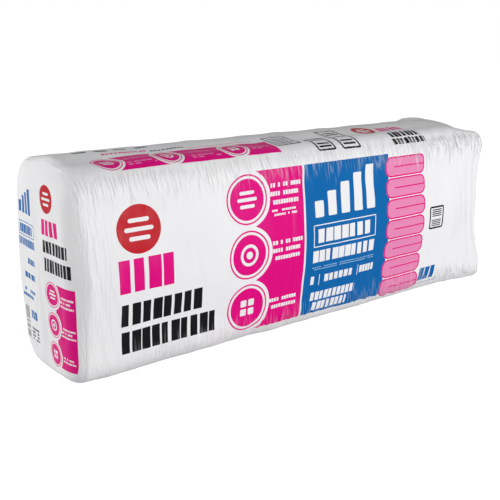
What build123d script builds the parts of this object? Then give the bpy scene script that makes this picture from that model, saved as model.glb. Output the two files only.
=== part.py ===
from build123d import *
from math import cos, radians, sin
import os

# A wrapped bundle of fiberglass insulation batts, in millimetres.
# Eight unfaced batts are folded in half, pressed together and held by a printed film bag.
# X runs along the bag: the batts' folds are at -X and the bag's heat-sealed end is at +X.
# Y runs through the stack of batts, with the bag's printed broad side at -Y. Z is up.
# The origin is on the floor, under the middle of the whole bundle.

INCH = 25.4

# One batt as it is sold
batt_length = 93 * INCH
batt_width = 15 * INCH

# The pressed stack: each batt is folded once into two leaves that stand on edge
batt_count = 8
leaf_thickness = 16.8
leaf_gap = 0.8
batt_gap = 0.6
width_swell = 17.5
length_swell = 11.0
fold_flat = 3.8
fold_steps = 2

# The film bag, which bulges between its long edges
film_thickness = 1.0
film_clearance = 0.3
side_bulge = 12.0
top_bulge = 7.0
floor_bulge = 6.0
floor_lift = 3.5
long_edge_radius = 56.0

# The pillow-shaped end over the folds, as a quarter ellipse that is narrower at the foot
folded_end_depth = 30.0
folded_end_width = 40.0
folded_foot_width = 22.0
folded_end_steps = 4

# The heat-sealed end: gussets tuck both sides in, the top comes down and a fin closes the middle
sealed_end_depth = 14.0
sealed_end_width = 18.0
sealed_end_steps = 2
sealed_foot_radius = 30.0
seal_lean = 2.5
gather_length = 160.0
gusset_tuck = 27.0
top_fall = 14.0
seal_recess = 8.0
fin_reach = 22.0
fin_thickness = 2.4
fin_margin = 42.0
fin_corner = 4.0

# Sizes that follow from those above
film_inset = film_thickness + film_clearance
batt_pitch = 2 * leaf_thickness + leaf_gap + batt_gap
stack_depth = batt_count * batt_pitch - batt_gap
bag_depth = stack_depth + 2 * film_inset
bag_height = batt_width + 2 * width_swell + 2 * film_inset
bag_length = batt_length / 2 + length_swell + 2 * film_inset
edge_y = bag_depth / 2 - side_bulge
edge_top = bag_height - top_bulge
middle_z = (edge_top + floor_lift) / 2
seal_back = middle_z * sin(radians(seal_lean))
fin_outreach = max(fin_reach - seal_recess - seal_back, 0)
folded_x = -(bag_length + fin_outreach) / 2
sealed_x = folded_x + bag_length
gather_x = sealed_x - gather_length
seal_normal = (cos(radians(seal_lean)), 0, sin(radians(seal_lean)))
cut_margin = 30.0


def quarter_round(depth, width, steps):
    """Pairs of a distance from an end and how far the form is narrowed there, along a quarter ellipse."""
    turns = [radians(90 * i / steps) for i in range(steps + 1)]
    return [(depth * (1 - cos(turn)), width * (1 - sin(turn))) for turn in turns]


def bowed_side(start, end, bow):
    """A side from start to end that leaves both corners level and bows out by bow at its middle."""
    start, end = Vector(start), Vector(end)
    quarter = (end - start) / 4
    crest = (start + end) / 2 + Vector(bow) * 16 / 6
    return Bezier(start, start + quarter, crest, end - quarter, end)


def bag_outline(plane, inset, swell=1, side_in=0, foot_in=0, foot_radius=long_edge_radius):
    """The bag's outline on a plane across its length, moved inwards by inset.

    An end also moves its top and sides in by side_in and its foot by foot_in. Its sides bulge
    fully where swell is 1.
    """
    half = edge_y - inset - side_in
    low = floor_lift + inset + foot_in
    high = edge_top - inset - side_in
    head = long_edge_radius - inset - side_in / 2
    foot = foot_radius - inset - foot_in / 2
    sides = [
        ((half, low + foot), (half, high - head), (side_bulge * swell, 0), head),
        ((half - head, high), (head - half, high), (0, top_bulge * swell), head),
        ((-half, high - head), (-half, low + foot), (-side_bulge * swell, 0), foot),
        ((foot - half, low), (half - foot, low), (0, -floor_bulge * swell), foot),
    ]
    with BuildSketch(plane) as outline:
        with BuildLine():
            for start, end, bow, radius in sides:
                side = bowed_side(start, end, bow)
                JernArc(side @ 1, side % 1, radius, 90)
        make_face()
    return outline.sketch


def filled_form(inset):
    """The bag's form before its sealed end is gathered."""
    outlines = []
    depth = folded_end_depth - inset
    foot_share = folded_foot_width / folded_end_width
    for distance, narrowing in quarter_round(depth, folded_end_width - inset, folded_end_steps):
        plane = Plane.YZ.offset(folded_x + inset + distance)
        outlines.append(bag_outline(plane, inset, distance / depth, narrowing, narrowing * foot_share))
    outlines.append(bag_outline(Plane.YZ.offset(gather_x), inset))
    depth = sealed_end_depth - inset
    for distance, narrowing in reversed(quarter_round(depth, sealed_end_width - inset, sealed_end_steps)):
        plane = Plane((sealed_x - inset - distance, 0, 0), x_dir=(0, 1, 0), z_dir=seal_normal)
        outlines.append(bag_outline(plane, inset, 1, narrowing, narrowing, sealed_foot_radius))
    return loft(outlines, ruled=True)


def gusset_groove(inset):
    """The long groove that a gusset's tuck presses into the bag's front side."""
    half_chord = middle_z - floor_lift - long_edge_radius
    radius = (half_chord ** 2 + gusset_tuck ** 2) / (2 * gusset_tuck)
    start = Vector(gather_x, -edge_y - side_bulge + inset, middle_z)
    end = Vector(sealed_x, gusset_tuck - edge_y + inset, middle_z)
    along = (end - start).normalized()
    outwards = Vector(along.Y, -along.X, 0)
    axis = Plane(origin=(start + end) / 2 + outwards * radius, z_dir=along)
    return axis * Cylinder(radius, 4 * gather_length)


def top_cut(inset):
    """What is cut away where the top comes down towards the sealed end."""
    start = (gather_x, bag_height - inset)
    end = (sealed_x, bag_height - top_fall - inset)
    clear_x = sealed_x + cut_margin
    clear_z = bag_height + cut_margin
    with BuildSketch(Plane.XZ) as profile:
        with BuildLine():
            TangentArc(start, end, tangent=(1, 0))
            Polyline(end, (clear_x, end[1]), (clear_x, clear_z), (gather_x, clear_z), start)
        make_face()
    return extrude(profile.sketch, bag_depth, both=True)


def seal_valley(inset):
    """The shallow valley across the sealed end, in which the fin lies."""
    radius = (middle_z ** 2 + seal_recess ** 2) / (2 * seal_recess)
    axis_x = sealed_x - seal_back - seal_recess + radius
    return Pos(axis_x, 0, middle_z) * Rot(90, 0, 0) * Cylinder(radius + inset, 2 * bag_depth)


def bag_form(inset):
    """The closed form of the filled bag, moved inwards by inset on every side."""
    floor = Pos(0, 0, inset - bag_height / 2) * Box(2 * bag_length, 2 * bag_depth, bag_height)
    groove = gusset_groove(inset)
    form = filled_form(inset)
    for cut in (groove, mirror(groove, about=Plane.XZ), top_cut(inset), seal_valley(inset), floor):
        form = form - cut
    return form


def film_bag():
    """The closed film bag, with the fin of its heat seal across the sealed end."""
    fin_root = sealed_x - seal_back - seal_recess - film_thickness / 2
    fin_tip = fin_root + film_thickness / 2 + fin_reach
    fin_width = 2 * (edge_y - fin_margin)
    fin = Pos((fin_root + fin_tip) / 2, 0, middle_z) * Box(fin_tip - fin_root, fin_width, fin_thickness)
    tip_corners = fin.edges().filter_by(Axis.Z).group_by(Axis.X)[-1]
    fin = fillet(tip_corners, fin_corner)
    return bag_form(0) - bag_form(film_thickness) + fin


def layer(places, near_share, far_share, near_shift, far_shift):
    """A layer of the stack whose faces bow out and tuck in as the bag's sides do.

    Each place is an x, how far the layer is narrowed there and how far the bag's sides bow out.
    A share says where a face lies in the stack: -1 at the front side, 1 at the back.
    """
    low = floor_lift - cut_margin
    high = edge_top + cut_margin
    outlines = []
    for x, narrowing, bow in places:
        near = near_share * edge_y + near_shift + narrowing
        far = far_share * edge_y + far_shift - narrowing
        with BuildSketch(Plane.YZ.offset(x)) as outline:
            with BuildLine():
                Line((near, low), (far, low))
                bowed_side((far, low), (far, high), (far_share * bow, 0))
                Line((far, high), (near, high))
                bowed_side((near, high), (near, low), (near_share * bow, 0))
            make_face()
        outlines.append(outline.sketch)
    return loft(outlines, ruled=True)


def batt(index, envelope):
    """One batt, folded in half and pressed to its place in the stack; index 0 is at the front."""
    nose_x = folded_x + film_inset
    rise = side_bulge / folded_end_depth
    folds = quarter_round(leaf_thickness, leaf_thickness - fold_flat, fold_steps)
    outside = [(nose_x + distance, narrowing, rise * distance) for distance, narrowing in folds]
    inside = [(nose_x + leaf_thickness, 0, rise * leaf_thickness)]
    full_x = folded_x + folded_end_depth
    along = [(full_x, 0, side_bulge), (gather_x, 0, side_bulge), (sealed_x, 0, -gusset_tuck)]
    near_share = 2 * index / batt_count - 1
    far_share = 2 * (index + 1) / batt_count - 1
    middle_share = (near_share + far_share) / 2
    near_shift = batt_gap / 2 if index > 0 else -cut_margin
    far_shift = -batt_gap / 2 if index < batt_count - 1 else cut_margin
    slab = layer(outside + along, near_share, far_share, near_shift, far_shift)
    between_leaves = layer(inside + along, middle_share, middle_share, -leaf_gap / 2, leaf_gap / 2)
    return (slab & envelope) - between_leaves


if __name__ == "__main__":
    os.makedirs("parts", exist_ok=True)
    export_step(film_bag(), "parts/film_bag.step")
    envelope = bag_form(film_inset)
    for index in range(batt_count):
        export_step(batt(index, envelope), f"parts/batt_{index + 1}.step")
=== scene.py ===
"""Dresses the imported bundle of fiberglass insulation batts.

The printed film bag, the crimped fin of its heat seal and the folded glass wool batts are built
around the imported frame. Every length is in metres, in the frame's own axes, but print and creases
are laid out in millimetres on the film's own sheets.
"""

import logging
import math
from collections.abc import Callable
from dataclasses import dataclass
from enum import Enum

import bpy
import numpy as np
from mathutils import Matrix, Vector
from mathutils.bvhtree import BVHTree

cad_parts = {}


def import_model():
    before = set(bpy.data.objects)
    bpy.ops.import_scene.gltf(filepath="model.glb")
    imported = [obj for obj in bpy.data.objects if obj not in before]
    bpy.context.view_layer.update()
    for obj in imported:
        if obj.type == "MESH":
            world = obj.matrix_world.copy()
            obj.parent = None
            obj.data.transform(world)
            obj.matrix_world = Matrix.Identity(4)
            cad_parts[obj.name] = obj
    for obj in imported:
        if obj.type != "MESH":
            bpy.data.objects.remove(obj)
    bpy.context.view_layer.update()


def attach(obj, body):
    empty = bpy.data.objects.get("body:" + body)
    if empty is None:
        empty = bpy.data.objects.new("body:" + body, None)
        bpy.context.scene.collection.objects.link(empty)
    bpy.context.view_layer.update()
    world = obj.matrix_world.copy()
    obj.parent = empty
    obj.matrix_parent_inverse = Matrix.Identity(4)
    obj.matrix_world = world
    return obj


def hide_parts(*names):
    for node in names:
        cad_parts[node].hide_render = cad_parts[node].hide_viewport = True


LOG = logging.getLogger("bundle")
ROOT = "root"
PRINT_MAP = "print"

Array = np.ndarray
Coordinates = tuple[Array, Array, Array]
Socket = bpy.types.NodeSocket
Sockets = bpy.types.bpy_prop_collection
Point = tuple[float, float, float]
Colour = tuple[float, float, float, float]
Span = tuple[float, float]


class Chart(Enum):
    """The sheets that the film's print is laid out on, as the film's material slots."""

    PLAIN = 0
    FRONT = 1
    TOP = 2
    FOLDED_END = 3


@dataclass(frozen=True)
class BundleSizes:
    """Sizes of the whole bundle, as the CAD source has them."""

    edge_y: float = 0.129
    edge_top: float = 0.4116
    bag_height: float = 0.4186
    floor_lift: float = 0.0035
    middle_z: float = 0.20755
    folded_x: float = -0.59982
    sealed_x: float = 0.59488
    gather_x: float = 0.43488
    long_edge_radius: float = 0.056
    side_bulge: float = 0.012
    top_bulge: float = 0.007
    floor_bulge: float = 0.006
    folded_end_depth: float = 0.030
    folded_end_width: float = 0.040
    folded_foot_width: float = 0.022
    sealed_end_depth: float = 0.014
    sealed_end_width: float = 0.018
    sealed_foot_radius: float = 0.030
    seal_lean: float = math.radians(2.5)
    gusset_tuck: float = 0.027
    top_fall: float = 0.014
    seal_recess: float = 0.008

    @property
    def seal_x(self) -> float:
        """Where the heat seal meets the leaning, hollow sealed end."""
        return self.sealed_x - self.middle_z * math.sin(self.seal_lean) - self.seal_recess

    def late(self, x: Array) -> Array:
        """How far along the gathered length a place is: 0 where it starts, 1 at the sealed end."""
        return (x - self.gather_x) / (self.sealed_x - self.gather_x)


def smooth_step(value: Array, low: float, high: float) -> Array:
    """A share for each value, which rises smoothly from 0 at low to 1 at high."""
    share = np.clip((value - low) / (high - low), 0.0, 1.0)
    return share * share * (3.0 - 2.0 * share)


def hill(value: Array, centre: float, width: float) -> Array:
    """A smooth hill of height 1 at centre that fades out over width on each side."""
    return np.exp(-(((value - centre) / width) ** 2))


def soft_min(one: Array, other: Array, blend: float) -> Array:
    """The lesser of two values, rounded where they cross, over blend in their own unit."""
    near = np.clip(0.5 + 0.5 * (other - one) / blend, 0.0, 1.0)
    return other * (1.0 - near) + one * near - blend * near * (1.0 - near)


@dataclass(frozen=True)
class Waves:
    """Smooth noise along a line: waves of random length and phase, the same for the same seed."""

    shortest: float
    longest: float
    seed: int
    count: int

    def at(self, place: Array, shift: int = 0) -> Array:
        """The noise at each place, of about unit strength.

        Args:
            place: Where it is read along the line, in metres.
            shift: What is added to the seed, for other waves of the same kind.

        Returns:
            The noise.
        """
        draws = np.random.default_rng(self.seed + shift)
        lengths = self.shortest * (self.longest / self.shortest) ** draws.random(self.count)
        phases = draws.random(self.count) * 2.0 * math.pi
        total = np.zeros_like(place)
        for length, phase in zip(lengths, phases):
            total += np.sin(2.0 * math.pi * place / length + phase)
        return total / math.sqrt(self.count / 2.0)


@dataclass(frozen=True)
class Lumps:
    """Soft lumps over a surface: waves of random direction, the same for the same seed."""

    height: float
    length: float
    seed: int
    count: int = 16
    shortest: float = 0.6
    spread: float = 0.9

    def at(self, u: Array, v: Array) -> Array:
        """The lumps' height at each place.

        Args:
            u: The first coordinate, in metres.
            v: The second coordinate, in metres.

        Returns:
            The height, in metres.
        """
        total = np.zeros_like(u)
        for turn, stretch, phase in np.random.default_rng(self.seed).random((self.count, 3)):
            angle = turn * 2.0 * math.pi
            reach = 2.0 * math.pi / (self.length * (self.shortest + self.spread * stretch))
            total += np.sin(reach * (u * math.cos(angle) + v * math.sin(angle)) + phase * 2.0 * math.pi)
        return self.height * (total / math.sqrt(self.count / 2.0))


@dataclass(frozen=True)
class EdgeBand:
    """A band of wrinkles that runs in from one long edge of the printed side.

    Its edge is a place round the film. Its side is 1 below that edge and -1 above it. Reach is
    about how far a wrinkle runs in, and slant how much it slides along the bag on its way.
    """

    edge: float
    side: float
    reach: float
    slant: float
    depth: float
    seed: int


def mesh_object(name: str, points: Array, faces: list[tuple[int, ...]]) -> bpy.types.Object:
    """Makes a smooth-shaded mesh object at the origin.

    Args:
        name: The piece's name.
        points: Its vertices, one row each.
        faces: Its faces, as vertex numbers that turn anticlockwise seen from outside.

    Returns:
        The new object, linked to the scene.
    """
    mesh = bpy.data.meshes.new(name)
    mesh.from_pydata(points.tolist(), [], faces)
    mesh.polygons.foreach_set("use_smooth", [True] * len(mesh.polygons))
    mesh.update()
    made = bpy.data.objects.new(name, mesh)
    bpy.context.scene.collection.objects.link(made)
    return made


def linear(red: int, green: int, blue: int) -> Colour:
    """A colour given as a screen shows it, from 0 to 255, as the linear colour that a shader takes."""
    parts = [v / 255 for v in (red, green, blue)]
    return (*[p / 12.92 if p <= 0.04045 else ((p + 0.055) / 1.055) ** 2.4 for p in parts], 1.0)


class Ink(Enum):
    """The colours that the film is printed in."""

    WHITE = linear(240, 240, 242)
    MAGENTA = linear(227, 0, 129)
    BLUE = linear(0, 102, 172)
    RED = linear(194, 10, 32)
    PINK = linear(233, 138, 183)
    BLACK = linear(16, 16, 18)
    GREY = linear(128, 130, 132)
    PALE_BLUE = linear(146, 186, 216)
    TEAL = linear(40, 84, 80)


@dataclass(frozen=True)
class Patch:
    """One printed shape: a rounded rectangle, or a circle where its corner is as large as it is.

    Sizes are in millimetres on the print's own sheet. A line width of 0 fills the shape. Rows
    above 0 make it that many rows of word-like blocks instead: block is about how wide each is,
    and fill is its share of the row's height. Slant is how far the shape leans, for its height.
    """

    u: float
    v: float
    half_u: float
    half_v: float
    corner: float = 0.0
    line: float = 0.0
    rows: int = 0
    fill: float = 0.0
    block: float = 0.0
    slant: float = 0.0


@dataclass(frozen=True)
class Layer:
    """Shapes of one ink about a centre, in millimetres. Its motif may repeat in rows."""

    ink: Ink
    patches: tuple[Patch, ...]
    centre: Span = (0.0, 0.0)
    rows: int = 1
    row_pitch: float = 0.0


def disc(radius: float, line: float = 0.0) -> Patch:
    """A circle, filled or drawn as a line inside its radius."""
    return Patch(0, 0, radius, radius, radius, line)


def words(u: float, v: float, half_u: float, half_v: float, block: float, slant: float = 0.0) -> Patch:
    """One row of large word-like blocks."""
    return Patch(u, v, half_u, half_v, rows=1, fill=0.96, block=block, slant=slant)


def text(u: float, v: float, half_u: float, half_v: float, rows: int, fill: float, block: float) -> Patch:
    """Rows of small word-like blocks."""
    return Patch(u, v, half_u, half_v, rows=rows, fill=fill, block=block)


def rising_bars(u: float, pitch: float, half_u: float, corner: float, *spans: Span) -> tuple[Patch, ...]:
    """Upright bars side by side, from u on, each with its middle and its half height."""
    return tuple(Patch(u + i * pitch, v, half_u, half, corner) for i, (v, half) in enumerate(spans))


def mark_layers(centre: Span, radius: float, long: float, short: float, thin: float,
                pitch: float) -> tuple[Layer, Layer]:
    """A red disc with three white bars.

    Args:
        centre: The disc's middle.
        radius: The disc's radius.
        long: Half the length of the middle bar.
        short: Half the length of the bars above and below it.
        thin: Half the height of a bar.
        pitch: How far apart the bars are.

    Returns:
        The disc's layer and the bars'.
    """
    bars = tuple(Patch(0, v, half, thin, thin) for v, half in ((0, long), (-pitch, short), (pitch, short)))
    return Layer(Ink.RED, (disc(radius),), centre), Layer(Ink.WHITE, bars, centre)


def badge_pictures(unit: float) -> tuple[tuple[Patch, ...], ...]:
    """The badges' pictures: a pile of bars, a ring with a dot in it, and four soft squares.

    Args:
        unit: The badge's scale.

    Returns:
        Each picture's shapes.
    """
    bars = tuple(
        Patch(0, v * unit, half * unit, 3.6 * unit, 3.6 * unit) for v, half in ((14, 19), (0, 25), (-14, 19)))
    target = (disc(23 * unit, 6.5 * unit), disc(8 * unit))
    squares = tuple(
        Patch(u * unit, v * unit, 7.5 * unit, 7.5 * unit, 2.5 * unit) for v in (10, -10) for u in (-10, 10))
    return bars, target, squares


def badge_layers(radius: float, *centres: Span) -> tuple[Layer, ...]:
    """Three round badges on white margins: each a thin ring round a disc with a plain picture.

    Args:
        radius: Their outer radius.
        centres: Their middles, one for each picture.

    Returns:
        The badges' layers, from the film up.
    """
    unit = radius / 51.5
    steps = ((Ink.WHITE, 60), (Ink.MAGENTA, 51.5), (Ink.WHITE, 48), (Ink.MAGENTA, 42.7))
    made = []
    for centre, picture in zip(centres, badge_pictures(unit)):
        made += [Layer(ink, (disc(size * unit),), centre) for ink, size in steps]
        made.append(Layer(Ink.WHITE, picture, centre))
    return tuple(made)


FRONT_PRINT = (
    Layer(Ink.MAGENTA, (Patch(-130.5, -5, 65.5, 170, 1.5), words(-454, 4, 60, 33, 31))),
    Layer(Ink.BLUE, (
        Patch(71, -5, 131, 170, 1.5),
        words(366, -150, 31, 17, 21, 0.25),
        Patch(368, -175.5, 46, 0.7, 0.7),
    )),
    *mark_layers((-466, 88), 46, 30, 22, 4, 17),
    Layer(Ink.BLACK, (
        words(-419, -72, 92, 23, 23),
        words(-404, -128, 106, 23, 22),
        Patch(375, -6, 26, 28.5, 5.2, line=4.4),
        text(375, 7, 17, 10, 4, 0.55, 60),
        text(375, -18, 17, 9, 4, 0.55, 60),
    )),
    Layer(Ink.WHITE, (
        text(-112, 118, 42, 27, 3, 0.5, 7),
        text(-118, 76, 34, 9, 2, 0.5, 5.5),
        text(-112, -2, 42, 25, 3, 0.5, 7),
        text(-118, -122, 38, 16, 2, 0.5, 7),
        Patch(59, 7, 97, 25, 3, line=2.2),
        words(59, 7, 84, 16, 24),
        words(59, -39, 97, 14, 19.4),
        words(34, -134, 68, 10, 13.5, 0.2),
        words(24, -158, 52, 10, 14, 0.2),
        Patch(-34, -95, 5, 10, 1.5),
        Patch(-13, -96, 0.9, 13, 0.9),
        words(48, -94, 46, 9, 15.5),
        Patch(108, -94, 0.9, 13, 0.9),
        words(137, -93, 23, 9, 9.5),
        *rising_bars(-20, 40, 13, 3, (66, 18), (75, 27), (83, 35), (91, 43), (98, 50)),
    )),
    Layer(Ink.PALE_BLUE, (text(59, -66, 97, 5, 2, 0.42, 7),)),
    *badge_layers(51.5, (-215, 110), (-215, -5), (-215, -120)),
    *(Layer(ink, (patch,), (262, -14), rows=7, row_pitch=49) for ink, patch in (
        (Ink.MAGENTA, Patch(0, 0, 68, 23.5, 17)),
        (Ink.PINK, Patch(0, 0, 64.5, 20, 14)),
        (Ink.MAGENTA, Patch(14, 0, 54, 1.5, 1.5)),
    )),
)

TOP_PRINT = (
    Layer(Ink.MAGENTA, (
        Patch(-300, 231, 197, 31, 1.5),
        text(-430, 286, 48, 4.5, 1, 0.9, 9),
        words(290, 262, 42, 16, 20),
    )),
    Layer(Ink.BLACK, (
        Patch(-63, 256, 33, 32, 5, line=4),
        Patch(22, 219, 27, 29.5, 6, line=5),
        Patch(97, 242, 29, 54, 6, line=5),
        words(290, 217, 50, 11, 14),
        words(291, 192.5, 57, 9, 13.5),
        text(-335, 281, 40, 3.5, 1, 0.9, 9),
        text(22, 219, 18, 20, 4, 0.55, 80),
        text(97, 242, 19, 42, 7, 0.5, 80),
    )),
    Layer(Ink.GREY, (text(-63, 256, 25, 24, 5, 0.5, 60), text(-30, 298, 30, 4, 2, 0.4, 14))),
    Layer(Ink.TEAL, tuple(Patch(u, 319, 14, 8, 2) for u in (-508, -462, -422, -374))),
    *mark_layers((203, 266), 30, 20, 14, 3, 11),
    Layer(Ink.PINK, (
        Patch(-210, 275, 80, 1.3, 1.3),
        text(-430, 243, 26, 7, 2, 0.5, 14),
        text(-430, 219, 30, 7, 2, 0.5, 14),
        text(-285, 243, 28, 7, 2, 0.5, 14),
        text(-285, 219, 34, 7, 2, 0.5, 14),
        text(-140, 231, 26, 10, 2, 0.5, 14),
    )),
    *badge_layers(29.5, (-496, 232), (-367, 233), (-209, 232)),
)

END_PRINT = (
    Layer(Ink.MAGENTA, (Patch(90, 116, 32, 81, 1.5), words(52, 299, 31, 15, 15.5))),
    Layer(Ink.BLUE, (
        Patch(-54, 278, 39, 14, 2, line=1.6),
        words(-54, 278, 33, 9, 9.5),
        words(-55, 252, 39, 8, 8),
        *rising_bars(-84, 17, 6, 2, (320, 11), (325, 17), (329, 21), (333, 25)),
        words(-36, 217, 19, 6, 7.5),
        words(-48, 187, 26, 6, 16),
        text(-60, 152, 32, 12, 2, 0.55, 9.5),
        words(-43, 109, 15, 9, 10),
    )),
    *mark_layers((43, 351), 26, 17, 11, 2.4, 10),
    Layer(Ink.BLACK, (
        words(66, 263, 42, 12, 11.5),
        words(71, 229, 45, 13, 10),
        text(-82, 87, 10, 33, 22, 0.5, 60),
        text(-44, 69, 17, 15, 4, 0.55, 8),
    )),
    Layer(Ink.WHITE, (
        text(96, 170, 20, 12, 3, 0.5, 4.2),
        text(96, 112, 20, 11, 3, 0.5, 4.2),
        text(94, 58, 18, 7, 2, 0.5, 4.2),
    )),
    *badge_layers(24.5, (47, 174), (47, 115), (43, 56)),
)

SHEETS = {Chart.PLAIN: (), Chart.FRONT: FRONT_PRINT, Chart.TOP: TOP_PRINT, Chart.FOLDED_END: END_PRINT}


class ShaderTree:
    """Nodes of a material, of a group or of a shape, added in code."""

    def __init__(self, tree: bpy.types.NodeTree) -> None:
        """Works on a tree."""
        self.tree = tree

    def feed(self, node: bpy.types.Node, links: dict) -> None:
        """Sets a node's inputs.

        Args:
            node: The node.
            links: For each input, by name or number, a socket or a plain value.
        """
        for name, value in links.items():
            if isinstance(value, Socket):
                self.tree.links.new(value, node.inputs[name])
            else:
                node.inputs[name].default_value = value

    def node(self, kind: str, settings: dict | None = None, links: dict | None = None) -> bpy.types.Node:
        """Adds a node.

        Args:
            kind: Blender's name of the node's type.
            settings: The node's own properties.
            links: What its inputs are fed with.

        Returns:
            The new node.
        """
        made = self.tree.nodes.new(kind)
        for name, value in (settings or {}).items():
            setattr(made, name, value)
        self.feed(made, links or {})
        return made

    def math(self, operation: str, *terms: Socket | float) -> Socket:
        """Adds a Math node and returns its result."""
        return self.node("ShaderNodeMath", {"operation": operation}, dict(enumerate(terms))).outputs[0]

    def chain(self, operation: str, total: Socket, *terms: Socket | float) -> Socket:
        """Joins any number of terms by one Math node after another.

        Args:
            operation: What each node does.
            total: The first term.
            terms: The others.

        Returns:
            The result.
        """
        for term in terms:
            total = self.math(operation, total, term)
        return total

    def vector(self, operation: str, *terms: Socket | Point) -> Socket:
        """Adds a Vector Math node and returns its result."""
        made = self.node("ShaderNodeVectorMath", {"operation": operation}, dict(enumerate(terms)))
        return made.outputs["Value" if operation == "LENGTH" else "Vector"]

    def combine(self, *parts: Socket | float) -> Socket:
        """Adds a Combine XYZ node and returns its vector."""
        return self.node("ShaderNodeCombineXYZ", links=dict(enumerate(parts))).outputs[0]

    def parts(self, vector: Socket) -> Sockets:
        """Adds a Separate XYZ node and returns its outputs."""
        return self.node("ShaderNodeSeparateXYZ", links={0: vector}).outputs

    def mix(self, share: Socket, first: Socket | Colour, second: Socket | Colour) -> Socket:
        """Adds a Mix node for colours and returns its result."""
        return self.node("ShaderNodeMix", {"data_type": "RGBA"}, {0: share, 6: first, 7: second}).outputs[2]

    def noise(self, place: Socket, scale: float, detail: float, distortion: float = 0.0) -> Socket:
        """Adds a Noise Texture node and returns its factor."""
        return self.node("ShaderNodeTexNoise", links={
            "Vector": place, "Scale": scale, "Detail": detail, "Distortion": distortion}).outputs[0]

    def ramp(self, value: Socket, start: Socket | float, end: Socket | float, low: float = 0.0,
             high: float = 1.0, kind: str = "SMOOTHSTEP") -> Socket:
        """Adds a Map Range node that goes from low at start to high at end, and returns its result."""
        return self.node("ShaderNodeMapRange", {"interpolation_type": kind}, {
            "Value": value, "From Min": start, "From Max": end, "To Min": low, "To Max": high}).outputs[0]

    def bump(self, strength: float, distance: float, height: Socket) -> Socket:
        """Adds a Bump node and returns its normal."""
        return self.node("ShaderNodeBump", links={
            "Strength": strength, "Distance": distance, "Height": height}).outputs[0]


def new_material(name: str) -> tuple[bpy.types.Material, ShaderTree, bpy.types.Node]:
    """Makes a material.

    Args:
        name: Its name.

    Returns:
        The material, its nodes and its main shader.
    """
    made = bpy.data.materials.new(name)
    made.use_nodes = True
    return made, ShaderTree(made.node_tree), made.node_tree.nodes["Principled BSDF"]


class PrintPress:
    """Groups of shader nodes that draw one printed shape or rows of word-like blocks."""

    narrowest_block: float = 0.62
    block_spread: float = 0.30
    gap_chance: float = 0.17

    def __init__(self) -> None:
        """Builds both groups."""
        self.shape = self.group("printed_shape", ("Corner", "Line"), self.shape_mask)
        self.lines = self.group("printed_lines", ("Rows", "Fill", "Block"), self.lines_mask)

    @staticmethod
    def group(name: str, sizes: tuple[str, ...],
              draw: Callable[[ShaderTree, Sockets], Socket]) -> bpy.types.NodeTree:
        """Makes a group that gives out a shape's mask.

        Args:
            name: The group's name.
            sizes: The shape's own sizes, beside its centre and its half width and height.
            draw: What draws the mask from the group's inputs.

        Returns:
            The group.
        """
        group = bpy.data.node_groups.new(name, "ShaderNodeTree")
        for label in ("Place", "Centre", "Half", *sizes):
            kind = "Float" if label in sizes else "Vector"
            group.interface.new_socket(label, in_out="INPUT", socket_type=f"NodeSocket{kind}")
        group.interface.new_socket("Mask", in_out="OUTPUT", socket_type="NodeSocketFloat")
        tree = ShaderTree(group)
        mask = draw(tree, tree.node("NodeGroupInput").outputs)
        tree.node("NodeGroupOutput", links={"Mask": mask})
        return group

    @staticmethod
    def shape_mask(tree: ShaderTree, given: Sockets) -> Socket:
        """The mask of a rounded rectangle or of the line round it.

        Args:
            tree: The group's nodes.
            given: The group's inputs.

        Returns:
            1 on the shape, and 0 elsewhere.
        """
        core = tree.vector("SUBTRACT", given["Half"], tree.combine(given["Corner"], given["Corner"]))
        away = tree.vector("ABSOLUTE", tree.vector("SUBTRACT", given["Place"], given["Centre"]))
        beyond = tree.vector("MAXIMUM", tree.vector("SUBTRACT", away, core), (0, 0, 0))
        distance = tree.math("SUBTRACT", tree.vector("LENGTH", beyond), given["Corner"])
        inside = tree.math("LESS_THAN", distance, 0.0)
        lined = tree.math("GREATER_THAN", distance, tree.math("MULTIPLY", given["Line"], -1.0))
        return tree.math("MULTIPLY", inside, lined)

    def lines_mask(self, tree: ShaderTree, given: Sockets) -> Socket:
        """The mask of rows of word-like blocks. Where there are two rows or more, some words are left out.

        Args:
            tree: The group's nodes.
            given: The group's inputs.

        Returns:
            1 on the blocks, and 0 elsewhere.
        """
        local = tree.vector("ADD", tree.vector("SUBTRACT", given["Place"], given["Centre"]), given["Half"])
        spot, half = tree.parts(local), tree.parts(given["Half"])
        height = tree.math("MULTIPLY", half[1], 2.0)
        row = tree.math("MULTIPLY", tree.math("DIVIDE", spot[1], height), given["Rows"])
        column = tree.math("DIVIDE", spot[0], given["Block"])
        cell = tree.combine(tree.math("FLOOR", column), tree.math("FLOOR", row), given["Block"])
        chance = tree.node("ShaderNodeTexWhiteNoise", links={"Vector": cell}).outputs["Value"]
        width = tree.math("MULTIPLY_ADD", chance, self.block_spread, self.narrowest_block)
        spaced = tree.math("MULTIPLY", tree.math("GREATER_THAN", given["Rows"], 1.0), self.gap_chance)
        inside = [
            tree.math("LESS_THAN", tree.math("ABSOLUTE", tree.math("SUBTRACT", spot[i], half[i])), half[i])
            for i in (0, 1)
        ]
        return tree.chain(
            "MULTIPLY",
            tree.math("LESS_THAN", tree.math("FRACT", column), width),
            tree.math("GREATER_THAN", chance, spaced),
            tree.math("LESS_THAN", tree.math("FRACT", row), given["Fill"]),
            *inside,
        )


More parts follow.
